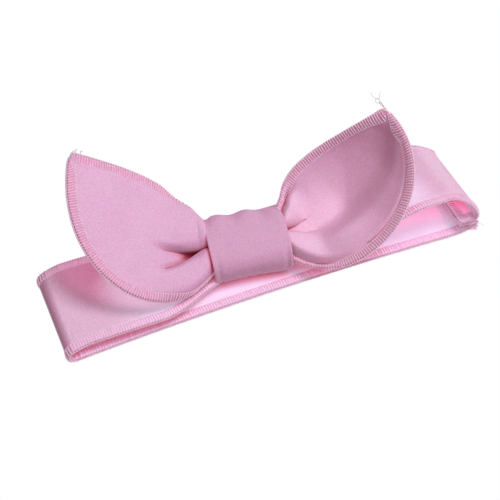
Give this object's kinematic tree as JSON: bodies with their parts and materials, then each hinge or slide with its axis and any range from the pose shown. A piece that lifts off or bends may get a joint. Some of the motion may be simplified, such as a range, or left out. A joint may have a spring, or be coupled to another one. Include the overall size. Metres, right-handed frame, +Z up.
{
  "type": "knotted bow hair band",
  "caption": "Stretch-fabric hair band lying flat: a sewn loop with overlocked edges, a knotted bow with pointed ears on its front half.",
  "frame": {"origin": "middle of the loop's back half, on its underside, where it rests on a table", "axes": "+X along the flattened band towards the closing seam, +Y across the band towards the side the ears lean to, +Z up"},
  "size_m": [0.2333, 0.0938, 0.0709],
  "materials": {
    "crepe_face_ply": "matte fine crepe",
    "crepe_lining_ply": "matte fine crepe",
    "overlock_thread": "soft textured thread",
    "sewing_thread": "spun thread"
  },
  "bodies": {
    "back_half": {"back_outer_ply": "crepe_face_ply", "back_inner_ply": "crepe_lining_ply", "back_near_overlock": "overlock_thread", "back_far_overlock": "overlock_thread"},
    "front_half": {"front_outer_ply": "crepe_face_ply", "front_inner_ply": "crepe_lining_ply", "front_near_overlock": "overlock_thread", "front_far_overlock": "overlock_thread", "closing_seam_overlock": "overlock_thread", "closing_seam_thread_tail": "sewing_thread", "knot_wrap": "crepe_face_ply", "knot_closing_stitches": "sewing_thread", "bow_waist": "crepe_face_ply", "waist_gathering_thread": "sewing_thread"},
    "left_ear": {"left_ear_front_ply": "crepe_face_ply", "left_ear_back_ply": "crepe_lining_ply", "left_ear_overlock": "overlock_thread", "left_tip_thread_tail": "sewing_thread"},
    "right_ear": {"right_ear_front_ply": "crepe_face_ply", "right_ear_back_ply": "crepe_lining_ply", "right_ear_overlock": "overlock_thread", "right_tip_thread_tail": "sewing_thread"}
  },
  "joints": [
    {"name": "loop_open", "type": "slide", "parent": "back_half", "child": "front_half", "axis": [0, 0, 1], "range_m": [0, 0.025]},
    {"name": "left_ear_lift", "type": "hinge", "parent": "front_half", "child": "left_ear", "pos_m": [-0.02699, 0.00425, 0.0145], "axis": [0.1564, 0.9877, 0], "range_deg": [0, 20]},
    {"name": "right_ear_lift", "type": "hinge", "parent": "front_half", "child": "right_ear", "pos_m": [0.01399, -0.00225, 0.0145], "axis": [-0.1564, -0.9877, 0], "range_deg": [0, 20]}
  ]
}
